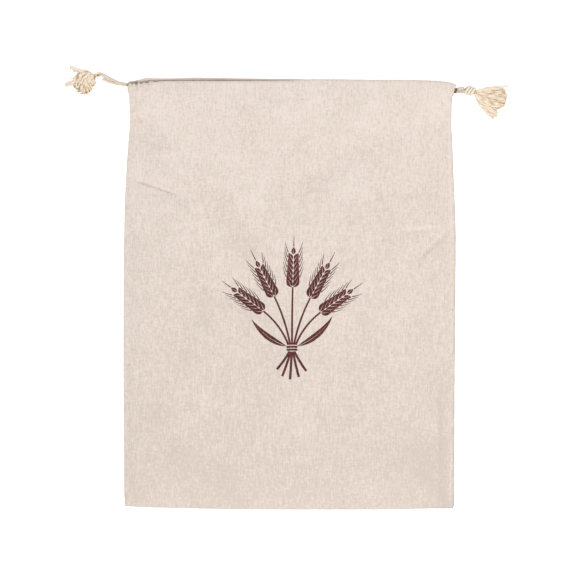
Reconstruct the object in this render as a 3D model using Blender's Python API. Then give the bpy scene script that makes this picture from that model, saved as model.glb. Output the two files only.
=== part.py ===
"""A linen drawstring bread bag, lying on its back with its mouth towards +Y.

Sizes are in millimetres until a mesh is made, and Blender's scene is in metres. x runs across the
bag, y up it and z away from the surface that it lies on. The origin is on that surface, under the
middle of the bag.
"""
import math

import bmesh
import bpy
import numpy as np
from mathutils import Vector

METRES = 0.001
FLAT = math.radians(0.05)
OBJECT = "linen_bread_bag"

# Cut and make of the bag
CLOTH = 1.0
SIDE_SEAM = 2.2
BOTTOM_FOLD = 1.6
HEM_DEPTH = 34.0
HEM_STITCHES = 31.5
HEM_END = 9.0
LIP_RADIUS = 3.0
LIP_DROP = 2.2
FLUSH_PAST = 1.2
CUT_PAST = 12.0

# Height of the front panel above the surface: at the sewn edges, the middle and the mouth
SEAM_RISE = 2.6
EDGE_ROUND = 0.8
EDGE_REACH = 1.2
MIDDLE_RISE = 13.4
MOUTH_RISE = 17.0
CASING_END_RISE = 12.6
SIDE_SLOPE = 24.0
MOUTH_SIDE_SLOPE = 16.0
BOTTOM_SLOPE = 16.0

# Distances below the front's top fold between which each feature of the height fades
MOUTH_FADES = (8.0, 110.0)
CASING_FADES = (8.0, 46.0)
CREASES_START = (10.0, 40.0)
CREASE_MARGIN = 12.0
OPEN_END_WIDTH = 30.0

# The drawstrings and the room they have in the casings
CORD = 2.5
CLEARANCE = 0.35
CASING_ROOM = CORD + 2 * CLEARANCE
CASING_FLAT = 0.6
ROOM_CLOSES = (10.5, 17.0)
CASING_END_GAP = 0.6
CORD_STATION = {"left": 3.8, "right": 7.4}
TURN_REACH = 4.6
TURN_ANGLES = (35, 65, 90, 115, 145)
MOUTH_PLACES = (185.0, 189.0)
ENTRY = 2.0
LEAD = 9.0
FLOOR_GAP = 0.05
CASING_PLACES = (-120.0, -100.0, -60.0, -20.0, 20.0, 60.0, 100.0, 120.0)
CORD_RESOLUTION = 2

# Cells of the panels' grids between their edges
COLUMNS = 20
ROWS = 24

# Outline of the side edges: height up the bag, left edge, right edge
SIDE_EDGES = np.array([
    (-199.7, -148.0, 149.8),
    (-198.0, -150.6, 151.4),
    (-194.4, -152.4, 152.1),
    (-181.0, -153.0, 152.3),
    (-125.0, -153.3, 152.5),
    (-70.0, -153.7, 152.8),
    (20.0, -153.6, 153.5),
    (54.0, -153.1, 153.7),
    (82.0, -152.5, 152.9),
    (109.0, -151.2, 151.7),
    (137.0, -149.4, 150.6),
    (160.0, -147.7, 149.5),
    (172.0, -147.6, 149.4),
    (182.0, -148.0, 150.2),
    (185.5, -148.6, 152.9),
    (189.0, -149.3, 153.7),
    (199.7, -149.0, 153.3),
])

# Outline of the ends: place across the bag, bottom fold, top fold of the back, top fold of the front
END_EDGES = np.array([
    (-153.7, -196.4, 195.0, 190.8),
    (-143.0, -197.0, 196.4, 191.3),
    (-137.5, -197.4, 198.0, 191.8),
    (-132.0, -197.6, 199.4, 192.6),
    (-124.5, -197.8, 199.1, 194.6),
    (-115.0, -198.0, 198.8, 195.5),
    (-87.0, -198.7, 199.7, 195.5),
    (-59.0, -199.3, 199.2, 195.5),
    (-32.0, -199.6, 198.7, 195.6),
    (0.0, -199.7, 198.2, 195.9),
    (24.0, -199.7, 197.7, 197.2),
    (51.0, -199.7, 196.9, 196.9),
    (79.0, -199.7, 196.5, 196.5),
    (106.0, -199.2, 196.5, 196.5),
    (134.0, -198.6, 195.8, 195.8),
    (147.5, -198.5, 194.4, 194.4),
    (153.7, -198.4, 192.4, 192.4),
])

# Soft creases of the front: both ends, half width, depth (a ridge is a negative depth)
CREASES = np.array([
    (-149.0, 108.0, -103.0, 91.0, 7.0, 0.8),
    (145.0, 56.0, 108.0, 34.0, 6.0, 0.8),
    (-87.0, 4.0, 0.0, -20.0, 12.0, 0.8),
    (-76.0, 18.0, -46.0, 2.0, 18.0, 0.5),
    (10.0, 100.0, 74.0, 141.0, 15.0, 0.7),
    (-70.0, -64.0, -60.0, -82.0, 14.0, 0.6),
    (136.5, -98.0, 139.0, -192.0, 4.0, -0.7),
    (-144.0, 161.0, -132.0, 158.0, 6.0, 1.0),
    (-40.0, 150.0, -96.0, 60.0, 16.0, -0.5),
    (60.0, -60.0, 20.0, -150.0, 18.0, 0.5),
])

# The tassels: knot's middle, half sizes, direction and wraps; the gathered neck that the strands
# leave; and the strands' layers
TASSELS = {
    "left": {
        "knot": (-177.0, 202.0, 3.0),
        "half_size": (3.1, 2.9, 2.9),
        "turn": 212.0,
        "wraps": 2,
        "neck_length": 9.5,
        "neck_half_width": 8.6,
        "neck_half_height": 3.6,
        "strands": (8, 8, 7, 5),
    },
    "right": {
        "knot": (166.4, 187.2, 4.9),
        "half_size": (6.2, 4.9, 4.8),
        "turn": -18.0,
        "wraps": 3,
        "neck_length": 10.5,
        "neck_half_width": 7.6,
        "neck_half_height": 3.0,
        "strands": (7, 7, 6, 5),
    },
}

# Reach of a tassel's strands from the far end of its knot: direction in degrees, length
FANS = {
    "left": np.array([
        (262.0, 15.0),
        (248.0, 19.9),
        (235.0, 21.7),
        (221.0, 22.5),
        (209.0, 22.7),
        (196.0, 27.5),
        (184.0, 21.5),
        (172.0, 19.0),
        (158.0, 23.4),
    ])[::-1],
    "right": np.array([
        (-56.0, 29.0),
        (-51.0, 31.2),
        (-44.0, 31.6),
        (-36.0, 25.0),
        (-26.0, 29.8),
        (-17.0, 31.2),
        (-8.0, 31.4),
        (3.0, 29.5),
        (12.0, 32.0),
    ]),
}
STRAND_RADIUS = 0.85
STRAND_PITCH = 1.5
STRAND_POINTS = 5
STRAND_SWAY = 0.9
LAYER_NARROWS = 0.14
LAYER_SHORTENS = 0.07
NECK_SHARE = 0.74
NECK_WAIST = 0.4
NECK_CLOSES = 0.6
NECK_TIP = 0.02
KNOT_TAPER = 0.86
WRAP_RIDGE = 0.09
HEAD_SIDES = 14
HEAD_RINGS = 22

# The free ends of the drawstrings, from the casing to the knot: a front and a back strand each
FREE_ENDS = {
    "left": {
        "front": (
            (-144.9, 189.6, 10.7), (-148.9, 192.4, 9.0), (-152.7, 193.5, 6.8), (-156.6, 194.3, 4.6),
            (-160.8, 196.3, 2.9), (-165.2, 198.4, 1.7), (-168.8, 200.3, 2.0), (-171.6, 201.9, 2.9),
            (-173.7, 202.2, 3.1),
        ),
        "back": (
            (-144.9, 192.9, 2.6), (-149.2, 192.8, 2.6), (-152.6, 193.0, 2.2), (-156.0, 193.4, 1.5),
            (-160.2, 194.0, 1.35), (-164.6, 195.1, 1.35), (-169.2, 196.8, 1.35), (-172.6, 198.6, 1.4),
        ),
    },
    "right": {
        "front": ((149.4, 187.5, 10.6), (153.0, 187.8, 8.9), (156.4, 188.7, 7.3), (160.4, 189.0, 6.0)),
        "back": ((149.4, 186.9, 2.7), (153.0, 186.4, 2.9), (156.4, 186.2, 3.6), (160.4, 186.2, 4.4)),
    },
}

COLOURS = {
    "linen": (0.78, 0.69, 0.60),
    "cotton": (0.80, 0.71, 0.58),
}


def curve_through(table, column, at):
    """Values of one column of a table at the places given, on a smooth curve that never overshoots."""
    xs, ys = table[:, 0], table[:, column]
    slopes = np.diff(ys) / np.diff(xs)
    tangents = np.concatenate([slopes[:1], np.zeros(len(xs) - 2), slopes[-1:]])
    before, after = slopes[:-1], slopes[1:]
    agree = before * after > 0
    total = np.where(agree, before + after, 1.0)
    tangents[1:-1] = np.where(agree, 2 * before * after / total, 0.0)
    at = np.clip(at, xs[0], xs[-1])
    i = np.clip(np.searchsorted(xs, at) - 1, 0, len(xs) - 2)
    span = xs[i + 1] - xs[i]
    t = (at - xs[i]) / span
    return (
        ys[i] * (1 + 2 * t) * (1 - t) ** 2
        + ys[i + 1] * t**2 * (3 - 2 * t)
        + span * (tangents[i] * t * (1 - t) ** 2 - tangents[i + 1] * t**2 * (1 - t))
    )


def left_edge(y):
    return curve_through(SIDE_EDGES, 1, y)


def right_edge(y):
    return curve_through(SIDE_EDGES, 2, y)


def bottom_fold(x):
    return curve_through(END_EDGES, 1, x)


def back_top(x):
    return curve_through(END_EDGES, 2, x)


def front_top(x):
    return curve_through(END_EDGES, 3, x)


def ease(value, start, end):
    """0 at start, 1 at end, with no slope at either."""
    t = np.clip((value - start) / (end - start), 0.0, 1.0)
    return t * t * (3 - 2 * t)


def from_side(x, y):
    return np.minimum(x - left_edge(y), right_edge(y) - x)


def crease_depth(x, y):
    depth = np.zeros_like(x)
    for x0, y0, x1, y1, width, deep in CREASES:
        along = np.array((x1 - x0, y1 - y0))
        t = np.clip(((x - x0) * along[0] + (y - y0) * along[1]) / (along @ along), 0.0, 1.0)
        away = np.hypot(x - x0 - t * along[0], y - y0 - t * along[1])
        depth += deep * np.exp(-((away / width) ** 2))
    return depth


def front_height(x, y):
    """Height of the front panel's outer face, before its lip turns over."""
    side = np.maximum(from_side(x, y), 0.0)
    below = np.maximum(front_top(x) - y, 0.0)
    above = np.maximum(y - bottom_fold(x), 0.0)
    near_mouth = 1.0 - ease(below, *MOUTH_FADES)
    at_casing = 1.0 - ease(below, *CASING_FADES)
    crown = MIDDLE_RISE + (MOUTH_RISE - MIDDLE_RISE) * near_mouth
    edge = SEAM_RISE + (CASING_END_RISE - SEAM_RISE) * at_casing
    slope = SIDE_SLOPE + (MOUTH_SIDE_SLOPE - SIDE_SLOPE) * at_casing
    across = edge + (crown - edge) * (1 - np.exp(-side / slope))
    height = SEAM_RISE + (across - SEAM_RISE) * (1 - np.exp(-above / BOTTOM_SLOPE))
    sewn = np.minimum(side + OPEN_END_WIDTH * at_casing, above)
    height -= EDGE_ROUND * np.exp(-sewn / EDGE_REACH)
    settled = (1 - np.exp(-side / CREASE_MARGIN)) * (1 - np.exp(-above / CREASE_MARGIN))
    return height - crease_depth(x, y) * settled * ease(below, *CREASES_START)


def lip_turn(below):
    """How far the outer face has turned over towards the fold at a distance below it."""
    t = 1 - np.clip(below, 0.0, LIP_RADIUS) / LIP_RADIUS
    return LIP_DROP * (1 - np.sqrt(1 - t * t))


def casing_room(below):
    """Height of the space inside a casing: a round one for the cords, nearly flat under them."""
    return CASING_FLAT + (CASING_ROOM - CASING_FLAT) * (1 - ease(below, *ROOM_CLOSES))


def hem_thickness(below, side):
    """What the turned-in hem and its casing add inside a panel."""
    there = (side > HEM_END) & (below < HEM_DEPTH)
    return np.where(there, casing_room(below) + CLOTH, 0.0)


def front_inside(x, y):
    below = np.maximum(front_top(x) - y, 0.0)
    hem = hem_thickness(below, from_side(x, y))
    return front_height(x, y) - CLOTH - hem + lip_turn(below) * (hem > 0)


def back_inside(x, y):
    below = np.maximum(back_top(x) - y, 0.0)
    hem = hem_thickness(below, from_side(x, y))
    return CLOTH + hem - lip_turn(below) * (hem > 0)


def stations(near_low, near_high, between):
    """Grid lines, as shares of a width and distances added to them: close ones at each end."""
    shares = [0.0] * len(near_low)
    offsets = list(near_low)
    for k in range(1, between):
        share = k / between
        shares.append(share)
        offsets.append(near_low[-1] * (1 - share) - near_high[-1] * share)
    shares += [1.0] * len(near_high)
    offsets += [-distance for distance in reversed(near_high)]
    return np.array(shares), np.array(offsets)


def panel_grid(columns, rows, top):
    """x and y of every crossing of the columns and rows, inside the bag's outline up to top(x)."""
    column_share, column_offset = columns
    row_share, row_offset = rows
    x = SIDE_EDGES[0, 1] * (1 - column_share) + SIDE_EDGES[0, 2] * column_share + column_offset
    x = np.broadcast_to(x, (len(row_share), len(column_share)))
    low, high = bottom_fold(x), top(x)
    y = low * (1 - row_share[:, None]) + high * row_share[:, None] + row_offset[:, None]
    x = left_edge(y) * (1 - column_share) + right_edge(y) * column_share + column_offset
    return x, y


def slab(name, x, y, low, high):
    """A closed solid between two height fields over one grid, in metres."""
    rows, columns = x.shape
    bm = bmesh.new()
    bmesh.ops.create_grid(bm, x_segments=columns - 1, y_segments=rows - 1, size=1.0)
    cells = {}
    for vert in bm.verts:
        i = round((vert.co.x + 1) / 2 * (columns - 1))
        j = round((vert.co.y + 1) / 2 * (rows - 1))
        cells[vert] = (j, i)
        vert.co = METRES * Vector((x[j, i], y[j, i], low[j, i]))
    lifted = bmesh.ops.extrude_face_region(bm, geom=bm.faces[:])["geom"]
    below = {(round(v.co.x, 7), round(v.co.y, 7)): cell for v, cell in cells.items()}
    for vert in (item for item in lifted if isinstance(item, bmesh.types.BMVert)):
        j, i = below[(round(vert.co.x, 7), round(vert.co.y, 7))]
        vert.co.z = METRES * high[j, i]
    bmesh.ops.recalc_face_normals(bm, faces=bm.faces[:])
    mesh = bpy.data.meshes.new(name)
    bm.to_mesh(mesh)
    bm.free()
    return bpy.data.objects.new(name, mesh)


def cut(target, cutter):
    modifier = target.modifiers.new(cutter.name, "BOOLEAN")
    modifier.operation = "DIFFERENCE"
    modifier.object = cutter


def make_outer():
    """The bag as if it were solid: flat below, with the front panel's outer face on top."""
    near_side = (0.0, 1.4, 3.2, 6.5, 11.0, 17.0)
    near_top = (0.0, 0.8, 1.6, 2.4, 3.3, 4.3, 5.6, 7.4, 10.5, 15.0, 21.0, 28.0, 36.0)
    x, y = panel_grid(
        stations(near_side, near_side, COLUMNS),
        stations((0.0, 1.4, 3.2, 6.5, 11.0, 17.0), near_top, ROWS),
        lambda across: np.maximum(back_top(across), front_top(across)),
    )
    top = front_height(x, y) - lip_turn(front_top(x) - y)
    return slab("bag_body", x, y, np.zeros_like(x), top)


def make_pocket():
    """The space inside the bag, out through the mouth and the open casing ends.

    Past the front's top edge it has no roof, so that the back's taller edge shows beyond it.
    """
    near_side = (SIDE_SEAM, 5.0, HEM_END - 0.1, HEM_END + 0.1, 13.0, 18.0)
    shares, offsets = stations(
        (BOTTOM_FOLD, 4.0, 8.0, 13.0),
        (0.0, 0.8, 1.6, 2.4, 3.3, 6.5, 10.5, 13.5, 17.0, 24.0, HEM_DEPTH - 0.1, HEM_DEPTH + 0.1, 40.0),
        ROWS,
    )
    x, y = panel_grid(stations(near_side, near_side, COLUMNS), (shares, offsets), front_top)
    open_ends = front_top(x) - y < HEM_DEPTH
    x[:, 0] = np.where(open_ends[:, 0], x[:, 0] - SIDE_SEAM - CUT_PAST, x[:, 0])
    x[:, -1] = np.where(open_ends[:, -1], x[:, -1] + SIDE_SEAM + CUT_PAST, x[:, -1])
    low, high = back_inside(x, y), front_inside(x, y)
    y[-1] += FLUSH_PAST * ease(x[-1], 8.0, 20.0)
    for step in (0.05, *[1.4] * 7):
        x = np.vstack([x, x[-1]])
        y = np.vstack([y, y[-1] + step])
        low = np.vstack([low, back_inside(x[-1], y[-1])])
        high = np.vstack([high, np.full_like(x[-1], MOUTH_RISE + CUT_PAST)])
    return slab("pocket", x, y, low, high)


def make_casing(name, top, room_top, room_bottom):
    """The space between a panel and its turned-in hem, open at both ends."""
    near_side = (HEM_END - CASING_END_GAP, 13.0, 18.0)
    columns = stations(near_side, near_side, COLUMNS)
    below = np.array([HEM_STITCHES, 24.0, 17.0, 13.5, 10.5, 6.5, 3.3, 2.4, 1.5])
    shares, offsets = np.ones(len(below)), -below
    x, y = panel_grid(columns, (shares, offsets), top)
    return slab(name, x, y, room_bottom(x, y), room_top(x, y))


def front_casing_top(x, y):
    return front_height(x, y) - CLOTH - lip_turn(front_top(x) - y)


def front_casing_bottom(x, y):
    below = front_top(x) - y
    return front_height(x, y) - CLOTH - casing_room(below) + lip_turn(below)


def back_casing_top(x, y):
    below = back_top(x) - y
    return CLOTH + casing_room(below) - lip_turn(below)


def back_casing_bottom(x, y):
    return np.full_like(x, CLOTH)


def smooth_route(points, steps):
    """Points on a smooth curve through the route's own points."""
    points = np.array(points, float)
    ends = (2 * points[0] - points[1], 2 * points[-1] - points[-2])
    padded = np.vstack([ends[0], points, ends[1]])
    route = []
    for k in range(1, len(padded) - 2):
        a, b, c, d = padded[k - 1 : k + 3]
        for step in range(steps):
            t = step / steps
            route.append(
                0.5 * (2 * b + (c - a) * t + (2 * a - 5 * b + 4 * c - d) * t**2
                       + (3 * b - a - 3 * c + d) * t**3)
            )
    route.append(points[-1])
    return np.array(route)


def casing_run(side, panel):
    """The stretch of a drawstring inside one panel's casing, from its own side to the far one."""
    station = CORD_STATION[side]
    far = HEM_END - CASING_END_GAP
    low, high = left_edge(MOUTH_PLACES[0]) + far, right_edge(MOUTH_PLACES[1]) - far
    if side == "left":
        x = np.concatenate([[low + ENTRY, low + LEAD], CASING_PLACES, [high - LEAD, high]])
    else:
        x = np.concatenate([[low, low + LEAD], CASING_PLACES, [high - LEAD, high - ENTRY]])[::-1]
    if panel == "front":
        y = front_top(x) - station
        z = front_height(x, y) - CLOTH - CASING_ROOM / 2
    else:
        y = back_top(x) - station
        z = np.full_like(x, CLOTH + CASING_ROOM / 2)
    return np.column_stack([x, y, z])


def drawstring_route(side):
    """From the knot through the front casing, round at the far side and back through the back one."""
    front, back = casing_run(side, "front"), casing_run(side, "back")
    outward = np.array((TURN_REACH if side == "left" else -TURN_REACH, 0.0, 0.0))
    middle, half = (front[-1] + back[-1]) / 2, (front[-1] - back[-1]) / 2
    turn = [
        middle + half * math.cos(math.radians(angle)) + outward * math.sin(math.radians(angle))
        for angle in TURN_ANGLES
    ]
    free = FREE_ENDS[side]
    return [*reversed(free["front"]), *front, *turn, *back[::-1], *free["back"]]


def make_drawstring(side):
    route = smooth_route(drawstring_route(side), 2)
    curve = bpy.data.curves.new(f"drawstring_{side}", "CURVE")
    curve.dimensions = "3D"
    curve.bevel_depth = METRES * CORD / 2
    curve.bevel_resolution = CORD_RESOLUTION
    curve.use_fill_caps = True
    spline = curve.splines.new("POLY")
    spline.points.add(len(route) - 1)
    for point, place in zip(spline.points, route, strict=True):
        point.co = (*(METRES * place), 1.0)
    return bpy.data.objects.new(f"drawstring_{side}", curve)


def fan_start(tassel):
    """The far end of the knot, where the strands start to spread."""
    turn = math.radians(tassel["turn"])
    reach = tassel["half_size"][0]
    return (
        tassel["knot"][0] + reach * math.cos(turn),
        tassel["knot"][1] + reach * math.sin(turn),
    )


def head_section(tassel, along):
    """Half width, half height and middle height of a tassel's head, from its knot's tip to its neck's end."""
    knot_length, neck_length = 2 * tassel["half_size"][0], tassel["neck_length"]
    if along < knot_length:
        t = 2 * along / knot_length - 1
        swell = math.sqrt(1 - (KNOT_TAPER if t > 0 else 1.0) * t * t)
        return tassel["half_size"][1] * swell, tassel["half_size"][2] * swell, tassel["knot"][2]
    t = min((along - knot_length) / neck_length, 1.0)
    spread = NECK_WAIST + (1 - NECK_WAIST) * math.sqrt(t)
    past = max(t - NECK_CLOSES, 0.0) / (1 - NECK_CLOSES)
    closing = math.sqrt(max(1 - past * past, 0.0))
    width = max(tassel["neck_half_width"] * spread * closing, NECK_TIP)
    height = max(tassel["neck_half_height"] * min(spread + 0.2, 1.0) * closing, NECK_TIP)
    resting = tassel["neck_half_height"] + 2 * FLOOR_GAP
    middle = tassel["knot"][2] + (resting - tassel["knot"][2]) * float(ease(t, 0.0, 0.8))
    return width, height, middle


def make_head(tassel, name):
    """The knot of a tassel, its wraps raised as slanting ridges, and the gathered neck beyond it."""
    total = 2 * tassel["half_size"][0] + tassel["neck_length"]
    turn = math.radians(tassel["turn"])
    start = Vector(tassel["knot"]) - Vector((math.cos(turn), math.sin(turn), 0)) * tassel["half_size"][0]
    bm = bmesh.new()
    bmesh.ops.create_uvsphere(bm, u_segments=HEAD_SIDES, v_segments=HEAD_RINGS, radius=1.0)
    for vert in bm.verts:
        share = 1 - math.acos(max(min(vert.co.z, 1.0), -1.0)) / math.pi
        angle = math.atan2(vert.co.y, vert.co.x)
        pole = math.hypot(vert.co.x, vert.co.y) < 1e-6
        along = total * share
        width, height, middle = head_section(tassel, along)
        knot_share = along / (2 * tassel["half_size"][0])
        ridge = math.cos(tassel["wraps"] * (2 * math.pi * knot_share - angle)) if knot_share < 1 else 0.0
        swell = 0.0 if pole else 1 + WRAP_RIDGE * ridge
        across = width * swell * math.cos(angle)
        up = max(middle + height * swell * math.sin(angle), FLOOR_GAP)
        vert.co = METRES * Vector((
            start.x + along * math.cos(turn) - across * math.sin(turn),
            start.y + along * math.sin(turn) + across * math.cos(turn),
            up,
        ))
    bmesh.ops.recalc_face_normals(bm, faces=bm.faces[:])
    mesh = bpy.data.meshes.new(name)
    bm.to_mesh(mesh)
    bm.free()
    return bpy.data.objects.new(name, mesh)


def strand_route(tassel, side, layer, strand):
    """One strand of a tassel, from inside its neck out level to its tip."""
    fan = FANS[side]
    count = tassel["strands"][layer]
    middle, half = (fan[0, 0] + fan[-1, 0]) / 2, (fan[-1, 0] - fan[0, 0]) / 2
    narrowing = 1 - LAYER_NARROWS * layer
    direction = middle + half * narrowing * (2 * strand / (count - 1) - 1)
    reach = float(np.interp(direction, fan[:, 0], fan[:, 1])) * (1 - LAYER_SHORTENS * layer)
    reach *= 1 + 0.05 * math.sin(2.3 * strand + 1.7 * layer)
    level = STRAND_RADIUS * math.sqrt(0.5) + STRAND_PITCH * layer
    heading = math.radians(direction)
    sway = STRAND_SWAY * math.sin(0.9 * layer + 0.5)
    inside = tassel["neck_length"] * NECK_SHARE
    x, y = fan_start(tassel)
    points = []
    for k in range(STRAND_POINTS):
        t = k / (STRAND_POINTS - 1)
        out = inside + (reach - inside) * t
        aside = sway * math.sin(math.pi * t)
        points.append((
            x + out * math.cos(heading) - aside * math.sin(heading),
            y + out * math.sin(heading) + aside * math.cos(heading),
            level,
        ))
    return points


def make_strands(tassel, side):
    """All the strands of a tassel as four-sided tubes, in one mesh."""
    curve = bpy.data.curves.new("strands", "CURVE")
    curve.dimensions = "3D"
    curve.twist_mode = "Z_UP"
    curve.bevel_depth = METRES * STRAND_RADIUS
    curve.bevel_resolution = 0
    curve.use_fill_caps = True
    for layer, count in enumerate(tassel["strands"]):
        for strand in range(count):
            spline = curve.splines.new("POLY")
            spline.points.add(STRAND_POINTS - 1)
            for point, place in zip(
                spline.points, strand_route(tassel, side, layer, strand), strict=True
            ):
                point.co = (*(METRES * Vector(place)), 1.0)
                point.tilt = math.pi / 4
    holder = bpy.data.objects.new("strands", curve)
    bpy.context.scene.collection.objects.link(holder)
    bpy.context.view_layer.update()
    evaluated = holder.evaluated_get(bpy.context.evaluated_depsgraph_get())
    mesh = bpy.data.meshes.new_from_object(evaluated)
    bpy.data.objects.remove(holder)
    bm = bmesh.new()
    bm.from_mesh(mesh)
    bmesh.ops.remove_doubles(bm, verts=bm.verts[:], dist=1e-6)
    bm.to_mesh(mesh)
    bm.free()
    return mesh


def make_tassel(side, cutters):
    tassel = TASSELS[side]
    head = make_head(tassel, f"tassel_{side}")
    strands = bpy.data.objects.new(f"tassel_{side}_strands", make_strands(tassel, side))
    add_guide(strands, cutters)
    union = head.modifiers.new("strands", "BOOLEAN")
    union.operation = "UNION"
    union.object = strands
    return head


def add_guide(obj, cutters):
    obj.hide_render = True
    obj.display_type = "WIRE"
    cutters.objects.link(obj)


def make_material(name, roughness):
    material = bpy.data.materials.new(name)
    material.use_nodes = True
    shader = material.node_tree.nodes["Principled BSDF"]
    shader.inputs["Base Color"].default_value = (*COLOURS[name], 1.0)
    shader.inputs["Roughness"].default_value = roughness
    shader.inputs["Metallic"].default_value = 0.0
    return material


def new_collection(name):
    collection = bpy.data.collections.new(name)
    bpy.context.scene.collection.children.link(collection)
    return collection


def main():
    for obj in list(bpy.data.objects):
        bpy.data.objects.remove(obj)
    parts, cutters = new_collection(OBJECT), new_collection("cutters")
    linen, cotton = make_material("linen", 0.9), make_material("cotton", 0.85)

    bag = make_outer()
    bag.data.materials.append(linen)
    parts.objects.link(bag)
    for cutter in (
        make_pocket(),
        make_casing("front_casing", front_top, front_casing_top, front_casing_bottom),
        make_casing("back_casing", back_top, back_casing_top, back_casing_bottom),
    ):
        add_guide(cutter, cutters)
        cut(bag, cutter)
    flat = bag.modifiers.new("flat faces", "DECIMATE")
    flat.decimate_type = "DISSOLVE"
    flat.angle_limit = FLAT

    for side in ("left", "right"):
        for piece in (make_drawstring(side), make_tassel(side, cutters)):
            piece.data.materials.append(cotton)
            parts.objects.link(piece)


main()
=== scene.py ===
"""Looks of a linen drawstring bread bag, lying on its back with its mouth towards +Y.

Sizes are in millimetres until a mesh is made, in the part's own frame: x runs across the bag, y up it
and z away from the surface that it lies on. The outline, heights and cord routes repeat the part's.
"""
import math

import bmesh
import bpy
import numpy as np
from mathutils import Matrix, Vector


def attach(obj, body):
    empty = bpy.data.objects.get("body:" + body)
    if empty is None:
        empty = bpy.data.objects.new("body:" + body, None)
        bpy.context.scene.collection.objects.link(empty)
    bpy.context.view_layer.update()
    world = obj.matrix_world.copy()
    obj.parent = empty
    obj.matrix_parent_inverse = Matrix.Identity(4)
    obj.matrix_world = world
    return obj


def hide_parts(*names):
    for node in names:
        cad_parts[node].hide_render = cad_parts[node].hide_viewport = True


METRES = 0.001

# Cut and make of the bag
CLOTH = 1.0
VISIBLE_CLOTH = 0.9
HEM_DEPTH = 34.0
HEM_END = 9.0
LIP_RADIUS = 3.0
SEAM_FOOT = 40.0
SEAM_OPENS = 30.0
SEAM_MIDDLE = 0.9
SEAM_ROUND = 1.2
# Half width of the painted shade and abrasion along the sewn edges
EDGE_SHADE_AND_WEAR_WIDTH = 0.9

# Painted shade along the sewn edges, partly their abrasion: a little all round and more towards the right
# one, from x to x
EDGE_SHADE_AND_WEAR_LEAST = 0.1
EDGE_SHADE_AND_WEAR_GROWS = (100.0, 140.0)

# Height of the front panel above the surface: at the sewn edges, the middle and the mouth
SEAM_RISE = 2.6
EDGE_ROUND = 0.8
EDGE_REACH = 1.2
MIDDLE_RISE = 13.4
MOUTH_RISE = 17.0
CASING_END_RISE = 12.6
SIDE_SLOPE = 24.0
MOUTH_SIDE_SLOPE = 16.0
BOTTOM_SLOPE = 16.0

# Distances below the front's top fold between which each feature of the height fades
MOUTH_FADES = (8.0, 110.0)
CASING_FADES = (8.0, 46.0)
CREASES_START = (10.0, 40.0)
CREASE_MARGIN = 12.0
OPEN_END_WIDTH = 30.0

# The drawstrings and the room they have in the casings
CASING_ROOM = 3.2
CASING_FLAT = 0.6
ROOM_CLOSES = (10.5, 17.0)
CASING_END_GAP = 0.6
CORD_STATION = {"left": 3.8, "right": 7.4}
TURN_REACH = 4.6
TURN_ANGLES = (35, 65, 90, 115, 145)
MOUTH_PLACES = (185.0, 189.0)
ENTRY = 2.0
LEAD = 9.0
CASING_PLACES = (-120.0, -100.0, -60.0, -20.0, 20.0, 60.0, 100.0, 120.0)
CORD_PITCH = 9.0
CORD_REACH = 1.35
PLY_GROOVE = 0.2
KNOT_GROOVE = 0.12
CORD_STEP = 0.9

# Towards its ends a cord's plies loosen: how much thicker it gets, and over what length
CORD_LOOSENS = 0.25
LOOSE_LENGTH = 14.0

# Tone of a cord, and the painted shade of its casing end lying across it: place, half width, how dark
CORD_TONE = 0.5
DARK_EXITS = {"left": -147.8, "right": 152.6}
DARK_REACH = 1.4
DARK_DEPTH = 1.6

# Half the height between the middles of a casing's two layers at the lip
LIP_RISE = (CASING_ROOM + CLOTH) / 2

# Cells of the cloth's grid, and the distances of its close columns from each side
COLUMNS = 120
NEAR_COLUMNS = (
    0.5, 0.62, 0.85, 1.3, 2.2, 3.2, 4.3, 5.4, 6.6, 7.8, HEM_END, 10.2, 11.4, 12.7, 14.0, 15.4, 17.0, 19.0,
)
FRONT_ROWS = 165
BACK_ROWS = 40
FRONT_CASING_ROWS = 24
BACK_CASING_ROWS = 12
HEM_ROWS = 14
LIP_STEPS = 9

# Outline of the side edges: height up the bag, left edge, right edge
SIDE_EDGES = np.array([
    (-199.7, -148.0, 149.8),
    (-198.0, -150.6, 151.4),
    (-194.4, -152.4, 152.1),
    (-181.0, -153.0, 152.3),
    (-125.0, -153.3, 152.5),
    (-70.0, -153.7, 152.8),
    (20.0, -153.6, 153.5),
    (54.0, -153.1, 153.7),
    (82.0, -152.5, 152.9),
    (109.0, -151.2, 151.7),
    (137.0, -149.4, 150.6),
    (160.0, -147.7, 149.5),
    (172.0, -147.6, 149.4),
    (182.0, -148.0, 150.2),
    (185.5, -148.6, 152.9),
    (189.0, -149.3, 153.7),
    (199.7, -149.0, 153.3),
])

# Outline of the ends: place across the bag, bottom fold, top fold of the back, top fold of the front
END_EDGES = np.array([
    (-153.7, -196.4, 195.0, 190.8),
    (-143.0, -197.0, 196.4, 191.3),
    (-137.5, -197.4, 198.0, 191.8),
    (-132.0, -197.6, 199.4, 192.6),
    (-124.5, -197.8, 199.1, 194.6),
    (-115.0, -198.0, 198.8, 195.5),
    (-87.0, -198.7, 199.7, 195.5),
    (-59.0, -199.3, 199.2, 195.5),
    (-32.0, -199.6, 198.7, 195.6),
    (0.0, -199.7, 198.2, 195.9),
    (24.0, -199.7, 197.7, 197.2),
    (51.0, -199.7, 196.9, 196.9),
    (79.0, -199.7, 196.5, 196.5),
    (106.0, -199.2, 196.5, 196.5),
    (134.0, -198.6, 195.8, 195.8),
    (147.5, -198.5, 194.4, 194.4),
    (153.7, -198.4, 192.4, 192.4),
])

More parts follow.
